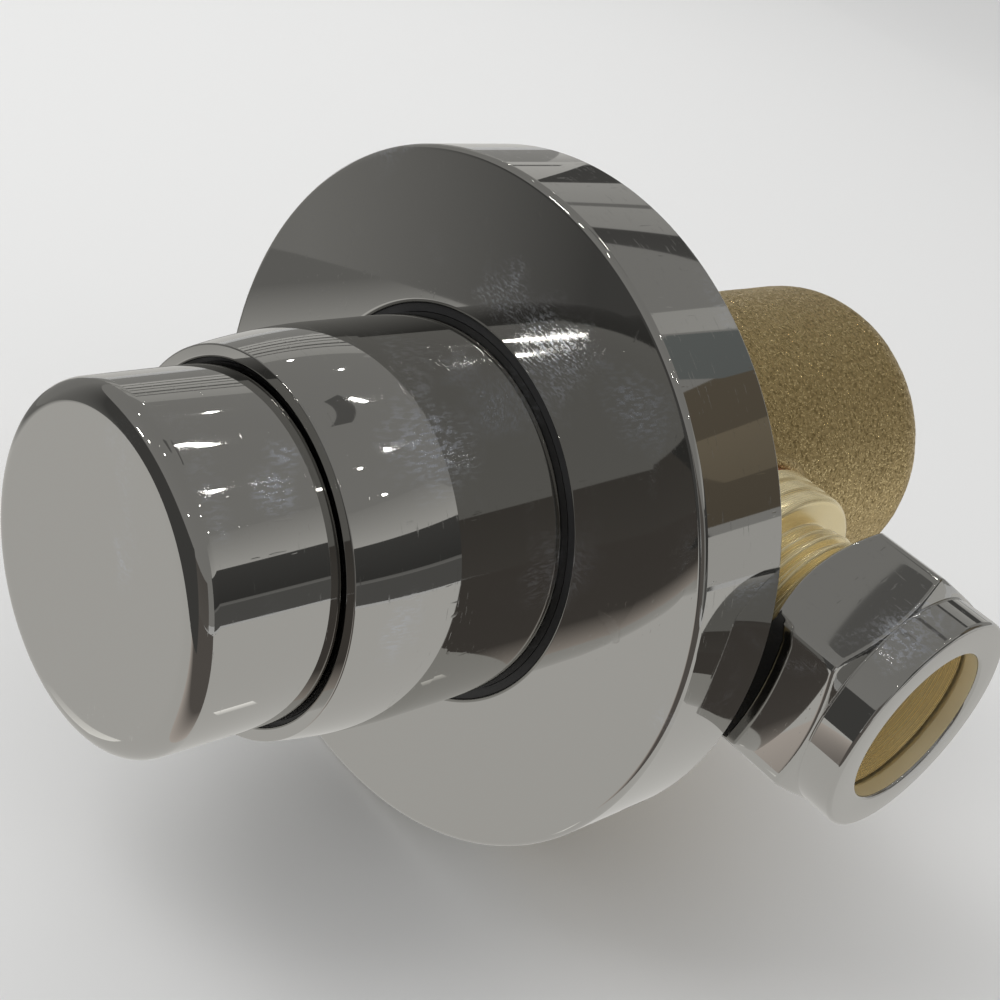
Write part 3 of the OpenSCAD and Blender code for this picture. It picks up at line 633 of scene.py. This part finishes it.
def dullInside(piece, f):
    # the plating is dull inside the cup, up to a little past the rear of its face
    piece.data.materials.append(innerChrome)
    depth = f["front"] - f["face"] + f["dullDepth"]
    reach = f["radius"] - f["dullEdge"]
    for polygon in piece.data.polygons:
        middle = polygon.center / mm
        polygon.material_index = int(-middle.y < depth and math.hypot(middle.x, middle.z) < reach)


wallFlange = turnedPiece("wallFlange", "valve", flangeCorners(flange), "flange", chrome,
                         "wall_flange", flange["segments"], flange["steps"])
dullInside(wallFlange, flange)

print("scene: seals and rings")

for name, material in (
    ("flange_ring_seal", rubber), ("flange_gasket", foam), ("collar_guide_ring", blackPlastic),
    ("button_hub", blackPlastic), ("hub_screw", steel), ("cartridge_head", valveBrass),
    ("head_o_ring", rubber), ("stem_bush", acetal), ("stem_seal", rubber), ("seal_retainer", valveBrass),
    ("cartridge_sleeve", acetal), ("sleeve_o_rings", rubber), ("valve_stem", steel),
    ("washer_holder", valveBrass), ("seat_washer", rubber), ("washer_nut", valveBrass), ("piston", acetal),
    ("lip_seal", rubber), ("piston_clip", steel), ("sleeve_end_cap", acetal),
    ("metering_pin", steel), ("spigot_washers", fibre), ("inlet_strainer", pipeSteel),
    ("flow_restrictor", greenPlastic), ("inlet_olive", pipeBrass), ("outlet_olive", pipeBrass),
):
    mesh = nodes[name].data
    for index in range(len(mesh.materials)):
        mesh.materials[index] = material

print("scene: return spring")


def returnSpring():
    # the coil between the piston and the end cap, in steel; in the valve it shortens as the button goes in
    mesh = nodes["return_spring"].data.copy()
    mesh.materials.clear()
    mesh.materials.append(steel)
    piece = bpy.data.objects.new("returnSpring", mesh)
    bpy.context.scene.collection.objects.link(piece)
    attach(piece, "valve")
    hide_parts("return_spring")
    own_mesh(piece)


returnSpring()

print("scene: cast body")

bodyHigh = nodeBox("valve_body")[1]
casting = {
    "voxel": 0.55, "coarse": 0.05, "fine": 0.035, "coarseSize": 2.6, "fineSize": 0.9, "halfWidth": 24.3,
    "crown": 9.0, "crownLean": 0.3,
}


def castBody(c):
    # the solid with an uneven skin; its bores, its front part and the bosses' ends stay smooth
    piece = bpy.data.objects.new("castBody", nodes["valve_body"].data.copy())
    bpy.context.scene.collection.objects.link(piece)
    remesh = piece.modifiers.new("skin", "REMESH")
    remesh.mode = "VOXEL"
    remesh.voxel_size = c["voxel"] * mm
    graph = bpy.context.evaluated_depsgraph_get()
    skin = bpy.data.meshes.new_from_object(piece.evaluated_get(graph))
    piece.modifiers.clear()
    piece.data = skin
    skin.materials.clear()
    skin.materials.append(castBrass)
    count = len(skin.vertices)
    co = np.empty(count * 3)
    no = np.empty(count * 3)
    skin.vertices.foreach_get("co", co)
    skin.vertices.foreach_get("normal", no)
    co, no = co.reshape(-1, 3) / mm, no.reshape(-1, 3)
    crown = (no[:, 1] > c["crownLean"]) & (co[:, 1] > bodyHigh.y - c["crown"])
    outward = (no[:, 0] * co[:, 0] + no[:, 2] * co[:, 2] > 0) | crown
    castSkin = outward & (co[:, 1] > 0) & (np.abs(co[:, 0]) < c["halfWidth"])
    for i in np.nonzero(castSkin)[0]:
        p = Vector(co[i])
        coarse = noise.noise(p / c["coarseSize"]) * c["coarse"]
        fine = noise.noise(p / c["fineSize"]) * c["fine"]
        co[i] += no[i] * (coarse + fine - c["coarse"] - c["fine"])
    skin.vertices.foreach_set("co", (co * mm).ravel())
    skin.update()
    skin.shade_smooth()
    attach(piece, "valve")
    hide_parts("valve_body")


castBody(casting)

print("scene: pipe connections")

spigotLow, spigotHigh = nodeBox("inlet_spigot")
spigot = {
    "rear": spigotLow.x, "mouth": spigotHigh.x, "plug": 11.4, "collarRear": 25.0, "collarFront": 32.2,
    "collar": 16.2, "relief": 12.2, "reliefEnd": 34.0, "thread": 13.1, "threadDepth": 1.16, "pitch": 1.814,
    "socket": 11.1, "socketFloor": 37.5, "step": 10.1, "stepRear": 36.6, "way": 9.0, "mouthCone": 1.5,
    "groove": 0.45, "rows": 12, "frontEdge": 1.6, "rearEdge": 0.5, "fine": 0.1, "sharp": 0.05,
    "soft": 0.3, "reliefFoot": 0.4, "mouthEdge": 0.2, "threadStart": 1.2, "threadEnd": 1.0,
    "endDepth": 0.25, "bareReach": 0.3, "bareEnd": 60.0, "grooveFloor": 0.3, "near": 0.01,
    "segments": 144, "steps": 4,
}


def spigotCorners(s):
    fine, sharp, soft, groove = s["fine"], s["sharp"], s["soft"], s["groove"]
    floor = groove * s["grooveFloor"]
    corners = [(s["plug"], s["rear"], soft), (s["plug"], s["collarRear"], sharp),
               (s["collar"], s["collarRear"], s["rearEdge"])]
    length = s["collarFront"] - s["collarRear"]
    for share in (1 / 3, 2 / 3):
        x = s["collarRear"] + length * share
        corners += [(s["collar"], x - groove, fine), (s["collar"] - groove, x - floor, fine),
                    (s["collar"] - groove, x + floor, fine), (s["collar"], x + groove, fine)]
    corners += [(s["collar"], s["collarFront"], s["frontEdge"]),
                (s["relief"], s["collarFront"], s["reliefFoot"]), (s["relief"], s["reliefEnd"], soft)]
    length = s["mouth"] - s["reliefEnd"]
    rows = int(length / s["pitch"] * s["rows"])
    for i in range(1, rows):
        corners.append((s["thread"], s["reliefEnd"] + length * i / rows, 0))
    corners += [(s["thread"] - soft, s["mouth"], fine), (s["socket"] + s["mouthCone"], s["mouth"], fine),
                (s["socket"], s["mouth"] - s["mouthCone"], s["mouthEdge"]),
                (s["socket"], s["socketFloor"], fine),
                (s["step"], s["socketFloor"], sharp), (s["step"], s["stepRear"], sharp),
                (s["way"], s["stepRear"], sharp), (s["way"], s["rear"], soft)]
    return corners


def threadWave(turns):
    # 0 on the crest and 1 in the root of the thread, which are flat for a tip's share of a flank
    tip = 0.12
    phase = abs((turns % 1) * 2 - 1)
    return 0.5 - 0.5 * math.cos(math.pi * min(max((phase - tip) / (1 - 2 * tip), 0), 1))


def spigotShape(s, hand):
    def shape(r, h, angle):
        onThread = abs(r - s["thread"]) <= s["near"]
        if not onThread:
            return r, h
        fromStart = min(max((h - s["reliefEnd"]) / s["threadStart"], 0), 1)
        fromEnd = min(max((s["mouth"] - h) / s["threadEnd"], 0), 1)
        fade = fromStart * fromEnd
        turns = h / s["pitch"] - hand * angle / (2 * math.pi)
        return r - s["threadDepth"] * threadWave(turns) * fade - (1 - fade) * s["endDepth"], h
    return shape


for side, hand in (("inlet", 1), ("outlet", -1)):
    turnedPiece(side + "Spigot", side, spigotCorners(spigot), "valve", pipeBrass, side + "_spigot",
                spigot["segments"], spigot["steps"], spigotShape(spigot, hand), None,
                (boreBrassPaintedLighter, spigot["socket"] + spigot["bareReach"], spigot["bareEnd"]))

nut = {
    "rear": nutLow.x, "front": nutHigh.x, "flats": 32.0, "hexLength": 13.0, "neck": 15.7, "rearChamfer": 2.4,
    "frontChamfer": 1.5, "bore": 13.22, "threadLength": 13.8, "socket": 11.1, "round": 0.45,
    "corner": 0.22, "cornerRound": 0.5, "chamferStart": 0.5, "chamferTop": 0.2, "neckEdge": 0.6,
    "socketEdge": 0.4, "coneEdge": 0.2, "mouthEdge": 0.3, "mouthChamfer": 0.4, "mouthDepth": 0.9,
    "rearFace": 1.2, "fine": 0.1, "perSide": 44, "rows": 84, "rowGap": 0.02, "crowding": 1.6,
    "bareReach": 0.05, "bareEnd": 0.9, "steps": 6,
}


def softMin(a, b, k):
    blend = max(k - abs(a - b), 0) / k
    return min(a, b) - blend * blend * k / 4


def nutCorners(n):
    hexFront = n["rear"] + n["hexLength"]
    coneRear = n["rear"] + n["threadLength"]
    coneFront = coneRear + n["bore"] - n["socket"]
    hexRows = []
    for i in range(n["rows"] + 1):
        along = n["rowGap"] + (n["hexLength"] - 2 * n["rowGap"]) * i / n["rows"]
        hexRows.append((n["flats"], n["rear"] + along, 0))
    return ([(n["bore"] + n["mouthChamfer"], n["rear"], n["mouthEdge"]),
             (n["flats"] / 2 - n["rearFace"], n["rear"], 0)] + hexRows
            + [(n["neck"], hexFront + n["fine"], n["fine"]), (n["neck"], n["front"], n["neckEdge"]),
               (n["socket"], n["front"], n["socketEdge"]), (n["socket"], coneFront, n["coneEdge"]),
               (n["bore"], coneRear, n["coneEdge"]), (n["bore"], n["rear"] + n["mouthDepth"], n["fine"])])


def nutShape(n):
    def shape(r, h, angle):
        if r < n["flats"] - 1:  # only the hexagon's rows are drawn at a radius of the full flats
            return r, h
        sector = (angle + math.pi / 6) % (math.pi / 3) - math.pi / 6
        hexagon = n["flats"] / 2 / math.cos(sector)
        cornerR = n["flats"] / math.sqrt(3)
        hexagon = softMin(hexagon, cornerR - n["corner"], n["cornerRound"])
        fromRear, fromFront = h - n["rear"], n["rear"] + n["hexLength"] - h
        flat = n["flats"] / 2 - n["chamferStart"]
        slope = cornerR + n["chamferTop"] - flat
        cone = min(flat + slope * fromRear / n["rearChamfer"], flat + slope * fromFront / n["frontChamfer"])
        return softMin(hexagon, cone, n["round"]), h
    return shape


def nutAngles(n):
    # columns stand closer together near the six corners, two of which point straight up and down
    angles = []
    half = n["perSide"] // 2
    for side in range(6):
        for i in range(-half, half):
            t = i / half
            crowded = 1 - (1 - abs(t)) ** n["crowding"]
            angles.append(math.pi / 3 * side + math.copysign(1, t) * math.pi / 6 * crowded)
    return sorted(a % (2 * math.pi) for a in angles)


for side in ("inlet", "outlet"):
    turnedPiece(side + "Nut", side, nutCorners(nut), side + "_nut", chrome, side + "_nut", 0,
                nut["steps"], nutShape(nut), nutAngles(nut),
                (boreBrassPaintedLighter, nut["bore"] + nut["bareReach"], nut["front"] - nut["bareEnd"]))

print("scene: studio")

scene = bpy.context.scene
studio = {
    "floor": (0.75, 0.75, 0.745), "roughness": 0.9, "shine": 0.1, "half": 12.0, "gap": 0.0006,
    "matStep": 0.0001, "world": 0.74, "tint": (1.0, 0.985, 0.94), "columnStep": 3, "rowStep": 4,
}
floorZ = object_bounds()[0].z - studio["gap"]

# Grey cloths, light strips and small ceiling lamps round the valve, for the chrome to mirror. Each
# is a patch of a dome: turn and spread give its place round the valve in degrees from +X, low and
# high its height in degrees, and away its distance. Its tone runs from the first value at its low
# edge to the second at its high edge, or along a direction where it gives one. A slant tips it.
cloths = {
    "tent": {"turn": 180, "spread": 180, "low": 0, "high": 90, "away": 0.9, "tone": (0.3, 0.27)},
    "roofFlag": {"turn": 176, "spread": 18, "low": 73.2, "high": 82, "away": 0.8, "tone": (0.13, 0.13)},
    "frontCloth": {"turn": 238, "spread": 58, "low": -14, "high": 22, "away": 0.185, "tone": (0.25, 0.075),
                   "along": (1, 0, 0.3), "reach": (-0.155, -0.105)},
    "rearFlag": {"turn": 24, "spread": 24, "low": 9, "high": 26, "away": 0.8, "tone": (0.05, 0.07)},
    "rearLine": {"turn": 24, "spread": 24, "low": 7.5, "high": 9, "away": 0.8, "tone": (0.2, 0.16)},
    "rearBar": {"turn": 24, "spread": 23, "low": -3, "high": 7.5, "away": 0.8, "tone": (0.11, 0.11)},
    "paleWall": {"turn": 25, "spread": 22, "low": 26, "high": 43, "away": 0.8, "tone": (0.52, 0.3)},
    "brownFlag": {"turn": 59, "spread": 11, "low": 11, "high": 36, "away": 0.78, "tone": (0.11, 0.13),
                  "tint": (1.0, 0.84, 0.62)},
    "tanPatch": {"turn": 56.5, "spread": 4.5, "low": 19, "high": 28, "away": 0.775, "tone": (0.17, 0.2),
                 "tint": (1.0, 0.84, 0.6)},
    "tealFlag": {"turn": 74, "spread": 6, "low": 34, "high": 42, "away": 0.78, "tone": (0.16, 0.17),
                 "tint": (0.93, 1.0, 0.98)},
    "paleBlock": {"turn": 84, "spread": 3.5, "low": 38, "high": 44, "away": 0.78, "tone": (0.46, 0.42)},
    "leftStrip": {"turn": 114, "spread": 20, "low": 2, "high": 12, "away": 0.8, "tone": (0.62, 0.4)},
    "leftBar": {"turn": 118, "spread": 22, "low": 13, "high": 22, "away": 0.8, "tone": (0.07, 0.08)},
    "leftPanel": {"turn": 118, "spread": 20, "low": 22, "high": 36, "away": 0.8, "tone": (0.42, 0.36)},
    "panelLine": {"turn": 120, "spread": 12, "low": 29.4, "high": 30.4, "away": 0.79, "tone": (0.2, 0.2)},
    "panelTop": {"turn": 112, "spread": 16, "low": 36, "high": 39, "away": 0.79, "tone": (0.08, 0.09)},
    "sideFlag": {"turn": 316, "spread": 22, "low": -3.2, "high": 22, "away": 0.8, "tone": (0.14, 0.12),
                 "tint": (1.0, 0.92, 0.84)},
    "hatch": {"turn": 111, "spread": 17, "low": 64, "high": 68, "slant": -4, "away": 0.78,
              "tone": (0.12, 0.12)},
    "window": {"turn": 149, "spread": 17, "low": 11, "high": 33, "away": 0.79, "tone": (0.56, 0.4)},
    "lowStrip": {"turn": 50, "spread": 8, "low": -2, "high": 9, "away": 0.78, "tone": (0.5, 0.5)},
}

# The dark slats of the window; every second one is narrower and thicker
slats = {"count": 5, "low": 13.0, "pitch": 3.2, "thick": (0.7, 1.2), "spread": (16, 15), "shifts": 3,
         "away": 0.77, "tone": (0.14, 0.12)}
for i in range(slats["count"]):
    low = slats["low"] + slats["pitch"] * i
    cloths["slat" + str(i)] = {
        "turn": cloths["window"]["turn"] + i % slats["shifts"], "spread": slats["spread"][i % 2],
        "low": low, "high": low + slats["thick"][i % 2], "away": slats["away"], "tone": slats["tone"]}

# The turn, height, half width and half height of each lamp, in degrees
lamps = {
    "away": 0.76, "tone": (40.0, 40.0),
    "places": ((117, 61, 2.0, 0.45), (59, 60, 0.45, 0.4), (40, 60, 0.4, 0.35), (32, 46, 0.4, 0.35),
               (139, 45, 0.35, 0.3), (151, 35, 0.35, 0.3), (20, 58, 0.4, 0.4), (250, 62, 0.6, 0.5),
               (235, 29, 2.6, 0.5), (241, 36.5, 0.7, 0.6), (300, 45, 0.5, 0.4), (200, 50, 0.5, 0.4)),
}
for i, (turn, rise, wide, tall) in enumerate(lamps["places"]):
    cloths["lamp" + str(i)] = {
        "turn": turn, "spread": wide / math.cos(math.radians(rise)), "low": rise - tall, "high": rise + tall,
        "away": lamps["away"], "tone": lamps["tone"]}

# Flat mats just above the floor, which only the chrome shows: the table top; darker places on it, which are
# painted shade for the valve's shadow and the table's darker corners as the chrome mirrors them;
# and two light streaks on it, which are painted highlights. Each lies a step above the one before.
mats = {
    "table": {"x": (-0.6, 0.6), "y": (-0.6, 0.6), "tone": (0.6, 0.6)},
    # painted shade: the next four are dark patches on the table that only the chrome mirrors
    "frontShade": {"x": (-0.2, -0.09), "y": (-0.2, -0.01), "tone": (0.19, 0.6), "along": (1, 0, 0),
                   "reach": (-0.132, -0.1)},
    "rearShade": {"x": (-0.15, 0.028), "y": (0.02, 0.2), "tone": (0.2, 0.2)},
    "sideShade": {"x": (0.12, 0.2), "y": (0.105, 0.17), "tone": (0.12, 0.12)},
    "cornerShade": {"x": (0.024, 0.6), "y": (-0.7, -0.045), "tone": (0.6, 0.13), "along": (1, 0, 0),
                    "reach": (0.024, 0.05), "tint": (1.0, 0.9, 0.82)},
    # painted highlights: two bright streaks that show as glints on the button's edge and lower side
    "lowGlint": {"x": (0.0335, 0.0375), "y": (-0.034, -0.027), "tone": (0.7, 1.3), "along": (1, 0, 0)},
    "edgeGlint": {"x": (-0.03, -0.015), "y": (-0.085, -0.077), "tone": (0.6, 1.1), "along": (1, 0, 0)},
}


def stageMesh(name, verts, faces, material, seen):
    mesh = bpy.data.meshes.new(name)
    mesh.from_pydata(verts, [], faces)
    mesh.materials.append(material)
    obj = bpy.data.objects.new(name, mesh)
    scene.collection.objects.link(obj)
    obj.visible_camera = seen
    obj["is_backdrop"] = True
    return obj


def layFloor(s):
    material, tree, shader = newMaterial("pale floor")
    shader.inputs["Base Color"].default_value = (*s["floor"], 1)
    shader.inputs["Roughness"].default_value = s["roughness"]
    shader.inputs["Specular IOR Level"].default_value = s["shine"]
    h = s["half"]
    stageMesh("floor", [(-h, -h, floorZ), (h, -h, floorZ), (h, h, floorZ), (-h, h, floorZ)], [(0, 1, 2, 3)],
              material, True)


layFloor(studio)

world = bpy.data.worlds.new("studio")
scene.world = world
world.use_nodes = True
background = world.node_tree.nodes["Background"]
background.inputs[0].default_value = (1, 1, 1, 1)
background.inputs[1].default_value = studio["world"]


def mirroredOnly(name, verts, faces, c):
    # only shiny surfaces show it: it neither hides the light from the floor nor is seen itself
    material = bpy.data.materials.new(name)
    material.use_nodes = True
    tree = material.node_tree
    tree.nodes.clear()
    glow = tree.nodes.new("ShaderNodeEmission")
    glow.inputs["Color"].default_value = (*c.get("tint", studio["tint"]), 1)
    out = tree.nodes.new("ShaderNodeOutputMaterial")
    tree.links.new(glow.outputs[0], out.inputs["Surface"])
    along = Vector(c.get("along", (0, 0, 1)))
    place = addNode(tree, "ShaderNodeVectorMath", operation="DOT_PRODUCT", in_1=along)
    tree.links.new(objectPoint(tree), place.inputs[0])
    reach = [along.dot(Vector(v)) for v in verts]
    near, far = c.get("reach", (min(reach), max(reach) + 1e-6))
    fade = addNode(tree, "ShaderNodeMapRange", in_1=near, in_2=far, in_3=c["tone"][0], in_4=c["tone"][1])
    tree.links.new(place.outputs["Value"], fade.inputs[0])
    tree.links.new(fade.outputs[0], glow.inputs["Strength"])
    obj = stageMesh(name, verts, faces, material, False)
    obj.visible_diffuse = False
    obj.visible_shadow = False
    obj.data.shade_smooth()


def hangCloth(name, c):
    columns = max(2, int(c["spread"] / studio["columnStep"])) * 2
    rows = max(1, int((c["high"] - c["low"]) / studio["rowStep"]))
    verts, faces = [], []
    for i in range(rows + 1):
        for k in range(columns + 1):
            sideways = 2 * k / columns - 1
            level = c["low"] + (c["high"] - c["low"]) * i / rows
            rise = math.radians(level + c.get("slant", 0) * sideways)
            turn = math.radians(c["turn"] + c["spread"] * sideways)
            flat, z = c["away"] * math.cos(rise), max(c["away"] * math.sin(rise), floorZ)
            verts.append((flat * math.cos(turn), flat * math.sin(turn), z))
    for i in range(rows):
        for k in range(columns):
            a = i * (columns + 1) + k
            faces.append((a, a + 1, a + columns + 2, a + columns + 1))
    mirroredOnly(name, verts, faces, c)


def layMat(name, c, level):
    (left, right), (near, far) = c["x"], c["y"]
    z = floorZ + level * studio["matStep"]
    corners = [(left, near, z), (right, near, z), (right, far, z), (left, far, z)]
    mirroredOnly(name, corners, [(0, 1, 2, 3)], c)


for name, cloth in cloths.items():
    hangCloth(name, cloth)
for level, (name, mat) in enumerate(mats.items()):
    layMat(name, mat, level + 1)


softboxes = {
    "key": {"place": (-0.3, -0.42, 0.6), "size": 0.4, "power": 2.0},
    "side": {"place": (-0.5, 0.3, 0.5), "size": 0.3, "power": 0.7},
}


def softbox(name, b):
    # a square lamp that faces the valve
    light = bpy.data.lights.new(name, "AREA")
    light.shape = "RECTANGLE"
    light.size, light.size_y = b["size"], b["size"]
    light.energy = b["power"]
    obj = bpy.data.objects.new(name, light)
    scene.collection.objects.link(obj)
    obj.location = b["place"]
    obj.rotation_mode = "QUATERNION"
    obj.rotation_quaternion = (-Vector(b["place"])).to_track_quat("-Z", "Y")
    obj.visible_glossy = False  # the chrome mirrors the cloths and lamps above instead


for name, box in softboxes.items():
    softbox(name, box)

# The place and directions come from edges of the round parts, as measured in the photograph
camera = {"place": (0.1143, -0.1453, 0.1027), "forward": (-0.53839, 0.68316, -0.49338),
          "up": (-0.55582, 0.15219, 0.81725), "lens": 56.7, "sensor": 36.0, "clip": (0.01, 20.0)}
lens = bpy.data.cameras.new("photo view")
lens.lens = camera["lens"]
lens.sensor_width = camera["sensor"]
lens.clip_start, lens.clip_end = camera["clip"]
eye = bpy.data.objects.new("photo view", lens)
scene.collection.objects.link(eye)
forward = Vector(camera["forward"]).normalized()
right = forward.cross(Vector(camera["up"])).normalized()
up = right.cross(forward)
turn = Matrix((right, up, -forward)).transposed()
eye.matrix_world = Matrix.Translation(camera["place"]) @ turn.to_4x4()
scene.camera = eye

scene.view_settings.view_transform = "Standard"

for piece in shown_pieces():
    if piece.type == "MESH" and not facesOutward(piece):
        print("inside out:", piece.name)
